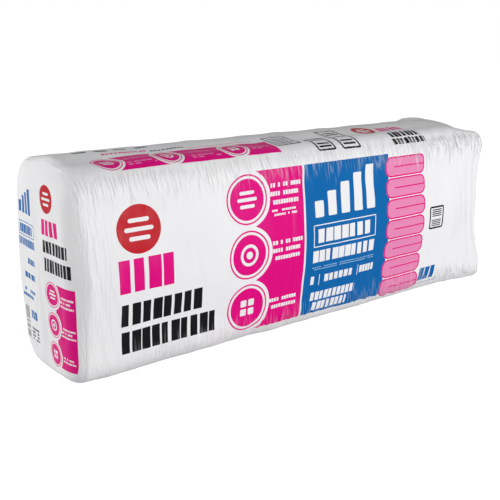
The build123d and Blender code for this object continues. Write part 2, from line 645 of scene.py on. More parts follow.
@dataclass(frozen=True)
class FilmFinish:
    """The glossy white polyethylene film and its print, with thin creases that run in from its edges.

    Roughness is the span that the film's grain swings it over. Creases are placed in millimetres, and the
    print is paled towards white along them as a painted highlight.
    """

    millimetre: float = 1000.0
    solid_line: float = 1000.0
    roughness: Span = (0.30, 0.39)
    gloss: float = 0.22
    refraction: float = 1.36
    whites: tuple[Colour, Colour] = (linear(238, 238, 240), linear(243, 243, 244))
    cloud_scale: float = 7.0
    noise_span: Span = (0.3, 0.7)
    grain: Point = (150.0, 150.0, 22.0)
    fine_wrinkle: float = 0.20
    bump_distance: float = 0.001
    crease: float = 1.05
    # Share of white painted along the creases as a highlight.
    crease_painted_highlight: float = 0.2
    crease_across: float = 0.105
    crease_along: float = 0.011
    crease_width: float = 0.17
    crease_bands: tuple[EdgeBand, ...] = (
        EdgeBand(edge=188.0, side=1.0, reach=125.0, slant=0.15, depth=1.0, seed=188),
        EdgeBand(edge=-186.0, side=-1.0, reach=105.0, slant=-0.1, depth=0.65, seed=-186),
    )
    crease_bend: float = 14.0
    crease_start: Span = (-16.0, 2.0)
    crease_fade: float = 0.45
    length_scale: float = 0.045
    gather_gain: float = 1.2
    gather_span: Span = (150.0, 420.0)
    end_crease: float = 0.5
    end_span: Span = (-496.0, -548.0)
    end_seed: float = 7.0

    def place(self, tree: ShaderTree, sheet: Socket, layer: Layer) -> Socket:
        """The print's place as one motif of a layer sees it.

        Args:
            tree: The material's nodes.
            sheet: The place on the sheet, in millimetres.
            layer: The layer, whose motif may repeat.

        Returns:
            The place from the nearest motif's centre.
        """
        local = tree.vector("SUBTRACT", sheet, (*layer.centre, 0))
        if layer.rows == 1:
            return local
        u, v = tree.parts(local)[:2]
        number = tree.math("FLOOR", tree.math("MULTIPLY_ADD", v, 1 / layer.row_pitch, layer.rows / 2))
        held = tree.node("ShaderNodeClamp", links={"Value": number, "Min": 0.0, "Max": layer.rows - 1.0})
        middle = (layer.rows - 1) / 2 * layer.row_pitch
        shift = tree.math("MULTIPLY_ADD", held.outputs[0], -layer.row_pitch, middle)
        return tree.combine(u, tree.math("ADD", v, shift))

    def mask(self, tree: ShaderTree, press: PrintPress, place: Socket, patch: Patch) -> Socket:
        """The mask of one printed shape.

        Args:
            tree: The material's nodes.
            press: The groups that draw shapes and lines.
            place: The place on the motif's own sheet.
            patch: The shape.

        Returns:
            1 where the shape has ink, and 0 elsewhere.
        """
        if patch.slant:
            u, v = tree.parts(place)[:2]
            lean = tree.math("MULTIPLY_ADD", v, -patch.slant, patch.slant * patch.v)
            place = tree.combine(tree.math("ADD", u, lean), v)
        group, sizes = press.shape, {"Corner": patch.corner, "Line": patch.line or self.solid_line}
        if patch.rows:
            group, sizes = press.lines, {"Rows": float(patch.rows), "Fill": patch.fill, "Block": patch.block}
        shape = {"Place": place, "Centre": (patch.u, patch.v, 0), "Half": (patch.half_u, patch.half_v, 0)}
        return tree.node("ShaderNodeGroup", {"node_tree": group}, {**shape, **sizes}).outputs[0]

    def ridges(self, tree: ShaderTree, across: Socket, along: Socket, seed: float) -> Socket:
        """Thin lines that wander a little, for creases.

        Args:
            tree: The material's nodes.
            across: The place across the lines, in millimetres.
            along: The place along them, in millimetres.
            seed: A number that sets these lines apart from others.

        Returns:
            1 on a line, falling to 0 beside it.
        """
        across = tree.math("MULTIPLY", across, self.crease_across)
        along = tree.math("MULTIPLY", along, self.crease_along)
        noise = tree.noise(tree.combine(across, along, seed), 1.0, detail=1.5)
        swing = tree.math("ABSOLUTE", tree.math("MULTIPLY_ADD", noise, 2.0, -1.0))
        return tree.ramp(swing, self.crease_width, 0.0)

    def creases(self, tree: ShaderTree, sheet: Socket) -> Socket:
        """The thin creases that run down from the top edge, up from the foot and beside the folded end.

        Args:
            tree: The material's nodes.
            sheet: The place on the sheet, in millimetres.

        Returns:
            1 on the sharpest creases, more near the sealed end, and 0 where the film is smooth.
        """
        along, around = tree.parts(sheet)[:2]
        ends = tree.node("ShaderNodeTexNoise", {"noise_dimensions": "1D"}, {
            "W": along, "Scale": self.length_scale, "Detail": 1.0}).outputs[0]
        beside = self.ridges(tree, along, around, self.end_seed)
        total = tree.chain("MULTIPLY", beside, tree.ramp(along, *self.end_span), self.end_crease)
        for band in self.crease_bands:
            inwards = tree.math("MULTIPLY_ADD", around, -band.side, band.edge * band.side)
            below = tree.math("MAXIMUM", tree.math("SUBTRACT", inwards, self.crease_bend), 0.0)
            slid = tree.math("MULTIPLY_ADD", below, -band.slant, along)
            far = tree.math("MULTIPLY", ends, band.reach)
            fade = tree.ramp(inwards, far, tree.math("MULTIPLY", far, self.crease_fade))
            part = tree.chain("MULTIPLY", self.ridges(tree, slid, inwards, band.seed), fade,
                              tree.ramp(inwards, *self.crease_start), band.depth)
            total = tree.math("MAXIMUM", total, part)
        tighter = tree.math("MULTIPLY_ADD", tree.ramp(along, *self.gather_span), self.gather_gain, 1.0)
        return tree.math("MULTIPLY", total, tighter)

    def material(self, chart: Chart, press: PrintPress) -> bpy.types.Material:
        """Makes the film's material for one sheet of print.

        Args:
            chart: The sheet.
            press: The groups that draw shapes and lines.

        Returns:
            The material.
        """
        made, tree, shader = new_material(f"film_{chart.name.lower()}")
        where = tree.node("ShaderNodeTexCoord").outputs["Object"]
        place = tree.node("ShaderNodeUVMap", {"uv_map": PRINT_MAP}).outputs[0]
        sheet = tree.vector("MULTIPLY", place, (self.millimetre, self.millimetre, 0))
        cloud = tree.ramp(tree.noise(where, self.cloud_scale, detail=2.0), *self.noise_span, kind="LINEAR")
        colour = tree.mix(cloud, *self.whites)
        for layer in SHEETS[chart]:
            local = self.place(tree, sheet, layer)
            masks = [self.mask(tree, press, local, patch) for patch in layer.patches]
            colour = tree.mix(tree.chain("MAXIMUM", *masks), colour, layer.ink.value)
        fine = tree.noise(tree.vector("MULTIPLY", where, self.grain), 1.0, detail=3.0)
        height = tree.math("MULTIPLY", fine, self.fine_wrinkle)
        if chart is not Chart.FOLDED_END:
            creases = self.creases(tree, sheet)
            height = tree.math("MULTIPLY_ADD", creases, self.crease, height)
            # Painted highlight: the colour is paled towards white along the creases, where they would catch
            # the light.
            colour = tree.mix(tree.math("MULTIPLY", creases, self.crease_painted_highlight), colour, Ink.WHITE.value)
        tree.feed(shader, {
            "Base Color": colour,
            "Normal": tree.bump(1.0, self.bump_distance, height),
            "Roughness": tree.ramp(fine, *self.noise_span, *self.roughness, kind="LINEAR"),
            "IOR": self.refraction,
            "Specular IOR Level": self.gloss,
        })
        return made


@dataclass(frozen=True)
class WoolFinish:
    """Matte pink glass wool, whose fibres lie along the batt."""

    strands: Point = (90.0, 900.0, 420.0)
    strand_twist: float = 1.4
    clump_scale: float = 26.0
    shade_span: Span = (0.36, 0.66)
    deep: Colour = linear(214, 134, 164)
    pale: Colour = linear(250, 205, 220)
    bump_strength: float = 0.7
    bump_distance: float = 0.0015
    roughness: float = 0.95
    sheen: float = 0.3

    def material(self) -> bpy.types.Material:
        """Makes the glass wool's material.

        Returns:
            The material.
        """
        made, tree, shader = new_material("pink_glass_wool")
        where = tree.node("ShaderNodeTexCoord").outputs["Object"]
        strands = tree.vector("MULTIPLY", where, self.strands)
        fibre = tree.noise(strands, 1.0, detail=6.0, distortion=self.strand_twist)
        clump = tree.noise(where, self.clump_scale, detail=3.0)
        shade = tree.math("MULTIPLY_ADD", clump, 0.5, tree.math("MULTIPLY", fibre, 0.5))
        ramp = tree.node("ShaderNodeValToRGB", links={"Fac": shade})
        for stop, position, colour in zip(ramp.color_ramp.elements, self.shade_span, (self.deep, self.pale)):
            stop.position = position
            stop.color = colour
        tree.feed(shader, {
            "Base Color": ramp.outputs["Color"],
            "Normal": tree.bump(self.bump_strength, self.bump_distance, fibre),
            "Roughness": self.roughness,
            "Sheen Weight": self.sheen,
        })
        return made


@dataclass(frozen=True)
class Gathering:
    """How the film is drawn together at the sealed end, and how one back corner stands up there."""

    sizes: BundleSizes
    furthest: float = 1.1
    tuck_foot: Span = (0.035, 0.165)
    tuck_head: Span = (0.25, 0.43)
    tuck_head_loss: float = 0.95
    tuck_power: float = 1.15
    side_start: float = 0.085
    side_margin: float = 0.012
    top_start: float = 0.31
    droop: float = 0.021
    droop_y: float = -0.066
    droop_width: float = 0.050
    droop_span: Span = (0.14, 0.01)
    ear: float = 0.0135
    ear_x: float = 0.516
    ear_rise: float = 0.030
    ear_fall: float = 0.086
    ear_y: float = 0.116
    ear_width: float = 0.032
    ear_hold: float = 0.6
    ear_hold_width: float = 0.06
    top_blend: float = 0.004
    valley_blend: float = 0.003
    valley_start: float = 0.5

    def shaped(self, x: Array, y: Array, z: Array) -> Coordinates:
        """Tucks the gussets in, brings the top down and hollows the seal's valley.

        Args:
            x: Each point's x before.
            y: Each point's y before.
            z: Each point's z before.

        Returns:
            x, y and z of the gathered bag.
        """
        s = self.sizes
        late = np.clip(s.late(x), 0, self.furthest)
        tuck = s.gusset_tuck * smooth_step(z, *self.tuck_foot)
        tuck = tuck * (1 - self.tuck_head_loss * smooth_step(z, *self.tuck_head))
        over = np.clip(np.abs(y) - s.edge_y, 0, None)
        sides = smooth_step(np.abs(y), self.side_start, s.edge_y - self.side_margin)
        y = np.sign(y) * (np.abs(y) - (over + tuck) * sides * late**self.tuck_power)
        near_top = smooth_step(z, self.top_start, s.edge_top)
        near_seal = smooth_step(x, *(s.sealed_x - margin for margin in self.droop_span))
        droop = self.droop * hill(y, self.droop_y, self.droop_width) * near_seal
        ear_length = np.where(x < self.ear_x, self.ear_rise, self.ear_fall)
        ear = self.ear * hill(y, self.ear_y, self.ear_width) * hill(x, self.ear_x, ear_length)
        fall = s.top_fall * late**2 * (1 - hill(y, self.ear_y, self.ear_hold_width) * self.ear_hold)
        z = np.where(late > 0, soft_min(z, s.bag_height - fall, self.top_blend), z)
        z = np.maximum(z + (ear - droop) * near_top, 0.0)
        radius = (s.middle_z**2 + s.seal_recess**2) / (2 * s.seal_recess)
        valley = s.seal_x + radius - np.sqrt(radius**2 - (z - s.middle_z) ** 2)
        return np.where(late > self.valley_start, soft_min(x, valley, self.valley_blend), x), y, z


@dataclass(frozen=True)
class FilmRelief:
    """The film's wrinkles, its soft dents and the folds of its ends."""

    sizes: BundleSizes
    wrinkle: float = 0.0017
    body_span: Span = (0.004, 0.035)
    mean_strength: float = 0.55
    strength_swing: float = 0.45
    strength_waves: Waves = Waves(0.12, 0.5, 11, 10)
    strength_limits: Span = (-1.0, 1.2)
    gather_gain: float = 0.9
    gather_span: Span = (0.22, 0.40)
    folded_loss: float = 0.38
    folded_span: Span = (-0.46, -0.05)
    bands: tuple[EdgeBand, ...] = (
        EdgeBand(edge=0.186, side=1.0, reach=0.075, slant=0.8, depth=1.0, seed=21),
        EdgeBand(edge=-0.182, side=-1.0, reach=0.068, slant=-0.35, depth=1.0, seed=31),
    )
    start: float = -0.010
    start_shift: float = -0.024
    start_span: Span = (-0.30, 0.05)
    fade_in: float = 0.030
    fade_out: float = 0.35
    reach_swing: float = 0.38
    reach_waves: Waves = Waves(0.012, 0.05, 3, 18)
    reach_limit: float = 1.6
    mean_lean: float = 0.23
    lean_swing: float = 0.12
    lean_waves: Waves = Waves(0.15, 0.6, 5, 8)
    fine_waves: Waves = Waves(0.010, 0.019, 0, 22)
    broad_waves: Waves = Waves(0.022, 0.05, 7, 16)
    crest_width: float = 1.25
    crest: float = 0.9
    broad: float = 0.45
    fine: float = 0.22
    middle: float = 0.098
    middle_waves: Waves = Waves(0.016, 0.06, 51, 20)
    middle_slant: float = 0.2
    middle_width: float = 0.16
    fold: float = 0.0016
    fold_x: float = -0.0995
    fold_slant: float = 0.03
    fold_width: float = 0.0045
    fold_reach: float = 0.11
    gusset: float = 0.0014
    gusset_waves: Waves = Waves(0.026, 0.055, 61, 14)
    gusset_slant: float = 0.12
    gusset_margins: Span = (0.02, 0.03)
    gusset_height: float = 0.16
    gusset_place: float = 0.31
    gusset_span: Span = (0.10, 0.20)
    dents: tuple[Lumps, ...] = (Lumps(0.0006, 0.16, 71), Lumps(0.0003, 0.07, 72))
    end_dents: float = 0.35
    tightness: float = 0.0008
    spoke_scale: float = 0.1
    folded_face: float = 0.0013
    folded_waves: Waves = Waves(0.045, 0.12, 81, 12)
    folded_fade: float = 0.5
    pleat: float = 0.0030
    pleat_waves: Waves = Waves(0.022, 0.07, 91, 14)
    pleat_end: float = 1.15
    corner_dip: float = 0.0035
    corner_turn: Span = (0.86, 0.12)
    corner_place: Span = (0.75, 0.35)
    seal_dip: float = 0.003
    seal_width: float = 0.006
    seal_reach: float = 0.1
    cap_start: float = 0.12

    def strength(self, x: Array) -> Array:
        """How strong the wrinkles are along the bag: weaker by the folds, stronger by the seal.

        Args:
            x: Each point's x.

        Returns:
            The strength at each point.
        """
        swing = np.clip(self.strength_waves.at(x[:, 0]), *self.strength_limits)[:, None]
        strength = self.mean_strength + self.strength_swing * swing
        strength = strength + self.gather_gain * smooth_step(x, *self.gather_span)
        return strength * (1 - self.folded_loss * (1 - smooth_step(x, *self.folded_span)))

    def band(self, band: EdgeBand, x: Array, around: Array) -> Array:
        """The wrinkles that run in from one edge.

        Args:
            band: The edge's band.
            x: Each point's x.
            around: Each point's place round the film.

        Returns:
            Their relief at each point, of about unit height.
        """
        line = x[:, 0]
        inwards = (band.edge - around) * band.side
        swing = np.clip(self.reach_waves.at(line, band.seed), -self.reach_limit, self.reach_limit)
        length = band.reach * (1 + self.reach_swing * swing)[:, None]
        lean = self.mean_lean + self.lean_swing * self.lean_waves.at(line, band.seed)[:, None]
        slid = x + lean * inwards * band.slant
        fine = self.fine_waves.at(slid, band.seed)
        crests = np.clip(1 - np.abs(fine) * self.crest_width, 0, 1) ** 2
        ridges = crests * self.crest + self.broad_waves.at(slid, band.seed) * self.broad + fine * self.fine
        start = self.start + self.start_shift * smooth_step(x, *self.start_span)
        fade = 1 - smooth_step(inwards, length * self.fade_out, length)
        return band.depth * ridges * smooth_step(inwards - start, 0.0, self.fade_in) * fade

    def sides(self, x: Array, around: Array, z: Array, share: Array) -> Array:
        """How far the film stands out in wrinkles and soft dents.

        Args:
            x: Each point's x.
            around: Each point's place round the film.
            z: Each point's height.
            share: Each ring's place in its end's cap.

        Returns:
            The height of the film's relief at each point, in metres.
        """
        s = self.sizes
        body = smooth_step(x, *(s.folded_x + reach for reach in self.body_span))
        body = body * (1 - np.abs(share)[:, None])
        relief = sum(self.band(band, x, around) for band in self.bands) * self.strength(x)
        quiet = self.middle_waves.at(x + self.middle_slant * around) * hill(around, 0.0, self.middle_width)
        relief = self.wrinkle * (relief + self.middle * quiet) * body
        fold_x = self.fold_x + self.fold_slant * around
        relief = relief + self.fold * hill(x, fold_x, self.fold_width) * hill(around, 0.0, self.fold_reach)
        near, far = self.gusset_margins
        gusset = smooth_step(x, s.gather_x + near, s.sealed_x - far) * hill(z, s.middle_z, self.gusset_height)
        gusset = gusset * smooth_step(np.abs(np.abs(around) - self.gusset_place), *self.gusset_span)
        relief = relief + self.gusset * gusset * body * self.gusset_waves.at(x + self.gusset_slant * z)
        dents = sum(lumps.at(x, around) for lumps in self.dents)
        return relief + dents * (self.end_dents + (1 - self.end_dents) * body) - self.tightness

    def ends(self, y: Array, z: Array, share: Array) -> Array:
        """The folds of both ends' faces.

        Args:
            y: Each point's y.
            z: Each point's z.
            share: Each ring's place in its end's cap.

        Returns:
            How far each point is moved outwards along x.
        """
        s = self.sizes
        up, across = (z - s.middle_z) / s.middle_z, y / s.edge_y
        spokes = np.arctan2(up, across)
        depth = np.hypot(up, across)
        line = spokes * self.spoke_scale
        folded = self.folded_face * self.folded_waves.at(line) * depth * (1 - depth * self.folded_fade)
        pleats = self.pleat_waves.at(line) * np.clip(depth, 0, 1) * (self.pleat_end - depth)
        corners = hill(np.abs(np.sin(2 * spokes)), *self.corner_turn) * hill(depth, *self.corner_place)
        seal = hill(z, s.middle_z, self.seal_width) * (np.abs(y) < self.seal_reach)
        sealed = self.pleat * pleats - self.corner_dip * corners - self.seal_dip * seal
        fade = smooth_step(np.abs(share)[:, None], 0.0, self.cap_start)
        return np.where(share[:, None] < 0, folded, sealed) * fade


@dataclass
class FilmBag:
    """The printed film bag: one closed skin whose rings run round the bundle, from end to end."""

    sizes: BundleSizes
    side_points: int = 60
    corner_points: int = 13
    top_points: int = 30
    body_rings: int = 330
    folded_round_rings: int = 12
    sealed_round_rings: int = 8
    folded_cap_rings: int = 18
    sealed_cap_rings: int = 26
    cap_opening: float = 0.03
    cap_bulge: float = 0.004
    settling: float = 0.003
    settling_span: Span = (-0.35, 0.20)
    slump: float = 0.0055
    slump_x: Span = (0.01, 0.07)
    slump_y: Span = (0.02, 0.115)
    slump_z: Span = (0.2, 0.11)
    front_share: float = 0.72
    front_start: float = -0.20
    top_start: float = 0.181
    top_end: float = 0.40

    def section(self, narrowing: Array, foot_in: Array, swell: Array,
                foot_radius: Array) -> tuple[Array, Array]:
        """The bag's outline across its length, for every ring.

        Args:
            narrowing: How far each ring's top and sides are moved in.
            foot_in: How far each ring's foot is moved in.
            swell: The share of the full bulge that each ring's sides have.
            foot_radius: The radius of each ring's lower corners before it is moved in.

        Returns:
            The outline's y and z, a row for each ring. It runs up the front side, back over the
            top, down the back side and home along the floor, with a round corner after each.
        """
        s = self.sizes
        half = s.edge_y - narrowing
        low = s.floor_lift + foot_in
        high = s.edge_top - narrowing
        head = s.long_edge_radius - narrowing / 2
        foot = foot_radius - foot_in / 2
        sides = (
            (-half, low + foot, -half, high - head, -s.side_bulge, 0, head - half, high - head, head),
            (head - half, high, half - head, high, 0, s.top_bulge, half - head, high - head, head),
            (half, high - head, half, low + foot, s.side_bulge, 0, half - foot, low + foot, foot),
            (half - foot, low, foot - half, low, 0, -s.floor_bulge, foot - half, low + foot, foot),
        )
        ys, zs = [], []
        for i, (start_y, start_z, end_y, end_z, bow_y, bow_z, centre_y, centre_z, radius) in enumerate(sides):
            count = self.top_points if i % 2 else self.side_points
            t = np.arange(count) / count
            bulge = np.outer(swell, 16 * t**2 * (1 - t) ** 2)
            turn = math.pi / 2 * (2 - i - np.arange(self.corner_points) / self.corner_points)
            ys.append(start_y[:, None] + np.outer(end_y - start_y, t) + bow_y * bulge)
            zs.append(start_z[:, None] + np.outer(end_z - start_z, t) + bow_z * bulge)
            ys.append(centre_y[:, None] + np.outer(radius, np.cos(turn)))
            zs.append(centre_z[:, None] + np.outer(radius, np.sin(turn)))
        return np.concatenate(ys, axis=1), np.concatenate(zs, axis=1)

    def rings(self) -> tuple[Array, Array, Array, Array]:
        """Every ring's place before the sealed end is gathered.

        Returns:
            x, y and z, a row for each ring, and each ring's share of the way into its end's cap:
            0 along the body, towards -1 at the middle of the folded end and 1 at the sealed end's.
        """
        s = self.sizes
        cap = 1 - np.linspace(self.cap_opening, 1.0, self.folded_cap_rings, endpoint=False)
        turn = np.linspace(0, math.pi / 2, self.folded_round_rings, endpoint=False)
        body = np.linspace(s.folded_x + s.folded_end_depth, s.sealed_x - s.sealed_end_depth, self.body_rings)
        back_turn = np.linspace(math.pi / 2, 0, self.sealed_round_rings + 1)[1:]
        back_cap = np.linspace(0.0, 1 - self.cap_opening, self.sealed_cap_rings + 1)[1:]
        x = np.concatenate([
            s.folded_x - self.cap_bulge * np.sin(cap * math.pi / 2) ** 2,
            s.folded_x + s.folded_end_depth * (1 - np.cos(turn)),
            body,
            s.sealed_x - s.sealed_end_depth * (1 - np.cos(back_turn)),
            s.sealed_x + 0 * back_cap,
        ])
        narrowing = np.concatenate([
            s.folded_end_width + 0 * cap,
            s.folded_end_width * (1 - np.sin(turn)),
            0 * body,
            s.sealed_end_width * (1 - np.sin(back_turn)),
            s.sealed_end_width + 0 * back_cap,
        ])
        share = np.concatenate([-cap, 0 * turn, 0 * body, 0 * back_turn, back_cap])
        settled = self.settling * smooth_step(x, *self.settling_span)
        foot_share = s.folded_foot_width / s.folded_end_width
        foot_in = np.where(x < 0, narrowing * foot_share, narrowing) - settled
        swell = np.clip((x - s.folded_x) / s.folded_end_depth, 0, 1)
        gathered = smooth_step(x, s.gather_x, s.sealed_x)
        foot_radius = s.long_edge_radius + (s.sealed_foot_radius - s.long_edge_radius) * gathered - settled
        y, z = self.section(narrowing, foot_in, swell, foot_radius)
        inwards = np.abs(share)[:, None]
        y = y * (1 - inwards)
        z = z + (s.middle_z - z) * inwards
        lean = s.seal_lean * np.clip(s.late(x), 0, 1)[:, None]
        return x[:, None] - z * np.sin(lean), y, z * np.cos(lean), share

    def around_lengths(self, y: Array, z: Array) -> Array:
        """How far round the bag each ring point lies, on the film as it is printed.

        Args:
            y: The y of a ring in the middle of the bag.
            z: Its z.

        Returns:
            Metres round the film, 0 at the front side's middle, rising towards the top and falling
            towards the floor. One more value than the ring has points closes it.
        """
        loop_y, loop_z = np.append(y, y[0]), np.append(z, z[0])
        total = np.concatenate([[0.0], np.cumsum(np.hypot(np.diff(loop_y), np.diff(loop_z)))])
        total = total - total[self.side_points // 2]
        back = total > total[-1] * self.front_share
        return np.where(back, total - (total[-1] - total[0]), total)

    def side_chart(self, around: float) -> Chart:
        """The sheet of print that a place round the film belongs to.

        Args:
            around: The place, in metres from the front side's middle.

        Returns:
            The sheet.
        """
        if self.front_start < around < self.top_start:
            return Chart.FRONT
        return Chart.TOP if self.top_start <= around < self.top_end else Chart.PLAIN

    @staticmethod
    def normals(x: Array, y: Array, z: Array) -> Coordinates:
        """The film's outward direction at each ring point, from its neighbours.

        Args:
            x: Each point's x, a row for each ring.
            y: Each point's y.
            z: Each point's z.

        Returns:
            The direction's x, y and z.
        """
        here = np.stack([x, y, z], axis=2)
        across = np.roll(here, -1, axis=1) - np.roll(here, 1, axis=1)
        out = np.cross(across, np.gradient(here, axis=0))
        out /= np.maximum(np.linalg.norm(out, axis=2, keepdims=True), 1e-12)
        return out[..., 0], out[..., 1], out[..., 2]

    def places(self) -> tuple[Coordinates, Array]:
        """Every ring's place on the finished bag.

        Returns:
            x, y and z, a row for each ring, and each ring point's place round the film.
        """
        s = self.sizes
        x, y, z, share = self.rings()
        middle = len(share) // 2
        around = self.around_lengths(y[middle], z[middle])
        x, y, z = Gathering(s).shaped(x, y, z)
        relief = FilmRelief(s)
        normals = self.normals(x, y, z)
        height = relief.sides(x, np.broadcast_to(around[:-1], x.shape), z, share)
        x, y, z = (part + height * normal for part, normal in zip((x, y, z), normals))
        x = x + relief.ends(y, z, share) * np.where(share < 0, -1.0, 1.0)[:, None]
        near_fold = 1 - smooth_step(x, *(s.folded_x + reach for reach in self.slump_x))
        x = x + self.slump * near_fold * smooth_step(y, *self.slump_y) * (1 - hill(z, *self.slump_z))
        return (x, y, np.maximum(z, 0.0)), around

    def build(self) -> bpy.types.Object:
        """Builds the film's mesh.

        Returns:
            The film bag as one closed mesh, with its print's places and its sheets.
        """
        (x, y, z), around = self.places()
        rings, count = x.shape
        last = rings * count
        faces, print_places, charts = [], [], []
        for i in range(rings - 1):
            row, after = i * count, (i + 1) * count
            for j in range(count):
                k = (j + 1) % count
                corners = (row + j, row + k, after + k, after + j)
                faces.append(corners)
                if i < self.folded_cap_rings + self.folded_round_rings // 2:
                    charts.append(Chart.FOLDED_END)
                    print_places += [(-y.flat[c], z.flat[c]) for c in corners]
                    continue
                here, there = around[j], max(around[j], around[j + 1])
                charts.append(self.side_chart(here))
                print_places += [(x.flat[c], a) for c, a in zip(corners, (here, there, there, here))]
        for j in range(count):
            k = (j + 1) % count
            faces += [(last, k, j), (last + 1, last - count + j, last - count + k)]
            charts += [Chart.FOLDED_END, Chart.PLAIN]
            print_places += [(0.0, self.sizes.middle_z)] * 6
        points = np.stack([x, y, z], axis=2)
        poles = [points[0].mean(axis=0), points[-1].mean(axis=0)]
        made = mesh_object("film", np.concatenate([points.reshape(-1, 3), poles]), faces)
        sheet = made.data.uv_layers.new(name=PRINT_MAP)
        sheet.data.foreach_set("uv", np.array(print_places, np.float32).ravel())
        made.data.polygons.foreach_set("material_index", [chart.value for chart in charts])
        LOG.info("film: %d rings of %d points", rings, count)
        return made


class ShapeTree(ShaderTree):
    """A Geometry Nodes tree with named inputs, built in code."""

    def __init__(self, name: str) -> None:
        """Makes an empty tree that gives out one mesh.

        Args:
            name: The tree's name.
        """
        super().__init__(bpy.data.node_groups.new(name, "GeometryNodeTree"))
        self.tree.interface.new_socket("Geometry", in_out="OUTPUT", socket_type="NodeSocketGeometry")
        self.inputs = {}
        self.start = self.tree.nodes.new("NodeGroupInput")

    def input(self, name: str, kind: str = "Float") -> Socket:
        """Adds a named input.

        Args:
            name: The input's name.
            kind: What it takes, as Blender names its sockets.

        Returns:
            Its socket.
        """
        made = self.tree.interface.new_socket(name, in_out="INPUT", socket_type=f"NodeSocket{kind}")
        self.inputs[name] = made.identifier
        return self.start.outputs[name]

    def finish(self, mesh: Socket, material: Socket) -> None:
        """Ends the tree in real geometry with its material.

        Args:
            mesh: The geometry to give out.
            material: The material it gets.
        """
        real = self.node("GeometryNodeRealizeInstances", links={"Geometry": mesh}).outputs[0]
        dressed = self.node("GeometryNodeSetMaterial", links={"Geometry": real, "Material": material})
        self.node("NodeGroupOutput", links={0: dressed.outputs[0]})

    def shaped(self, name: str, values: dict[str, float | bpy.types.Material]) -> bpy.types.Object:
        """Runs the tree and keeps its result as a plain mesh.

        Args:
            name: The new piece's name.
            values: What each named input is set to.

        Returns:
            The piece, with no modifier left on it.
        """
        holder = bpy.data.objects.new(name, bpy.data.meshes.new(name))
        bpy.context.scene.collection.objects.link(holder)
        modifier = holder.modifiers.new(self.tree.name, "NODES")
        modifier.node_group = self.tree
        for key, value in values.items():
            modifier[self.inputs[key]] = value
        depsgraph = bpy.context.evaluated_depsgraph_get()
        depsgraph.update()
        mesh = bpy.data.meshes.new_from_object(holder.evaluated_get(depsgraph))
        holder.modifiers.remove(modifier)
        holder.data = mesh
        mesh.name = name
        return holder


@dataclass
class SealFin:
    """The fin of welded film across the sealed end, with the ribs that the sealing bar presses in."""

    sizes: BundleSizes
    reach: float = 0.0225
    width: float = 0.174
    thickness: float = 0.0006
    rib_pitch: float = 0.0022
    rib_depth: float = 0.0005
    band_start: float = 0.003
    band_end: float = 0.012
    wave_length: float = 0.055
    wave_height: float = 0.0035
    noise_gain: float = 4.0
    droop: float = 0.004
    root_depth: float = 0.001
    reach_points: int = 72
    width_points: int = 90

    def values(self) -> dict[str, float]:
        """The fin's sizes and its root's place, by the names of the tree's inputs.

        Returns:
            What each input is set to.
        """
        named = ("reach", "width", "thickness", "rib_pitch", "rib_depth", "band_start", "band_end",
                 "wave_length", "wave_height", "droop")
        root = {"root_x": self.sizes.seal_x - self.root_depth, "root_z": self.sizes.middle_z}
        return {**{name: getattr(self, name) for name in named}, **root}

    def tree(self) -> ShapeTree:
        """Builds the tree that shapes the fin.

        Returns:
            The tree, whose inputs are the fin's sizes and its material.
        """
        t = ShapeTree("seal_fin")
        size = {name: t.input(name) for name in self.values()}
        material = t.input("material", "Material")
        plate = t.node("GeometryNodeMeshCube", links={
            "Size": t.combine(size["reach"], size["width"], size["thickness"]),
            "Vertices X": self.reach_points, "Vertices Y": self.width_points, "Vertices Z": 2})
        spot = t.parts(t.node("GeometryNodeInputPosition").outputs[0])
        half = t.math("MULTIPLY", size["reach"], 0.5)
        along = t.math("ADD", spot[0], half)
        turn = t.math("MULTIPLY", t.math("DIVIDE", along, size["rib_pitch"]), 2 * math.pi)
        ribs = t.chain(
            "MULTIPLY", size["rib_depth"], t.math("SINE", turn),
            t.math("GREATER_THAN", along, size["band_start"]), t.math("LESS_THAN", along, size["band_end"]))
        share = t.math("DIVIDE", along, size["reach"])
        place = t.combine(*(t.math("DIVIDE", part, size["wave_length"]) for part in (along, spot[1])))
        noise = t.noise(place, 1.0, detail=1.0)
        wave = t.chain("MULTIPLY", t.math("SUBTRACT", noise, 0.5), size["wave_height"], self.noise_gain)
        sway = t.chain("MULTIPLY", share, share, t.math("SUBTRACT", wave, size["droop"]))
        rise = t.chain("ADD", size["root_z"], ribs, sway)
        offset = t.combine(t.math("ADD", size["root_x"], half), 0.0, rise)
        moved = t.node("GeometryNodeSetPosition", links={"Geometry": plate.outputs[0], "Offset": offset})
        smooth = t.node("GeometryNodeSetShadeSmooth", links={"Geometry": moved.outputs[0]})
        t.finish(smooth.outputs[0], material)
        return t

    def build(self, material: bpy.types.Material) -> bpy.types.Object:
        """Builds the fin in its place.

        Args:
            material: The film's plain material.

        Returns:
            The fin's mesh.
        """
        made = self.tree().shaped("seal_fin", {**self.values(), "material": material})
        LOG.info("%s: %d faces", made.name, len(made.data.polygons))
        return made


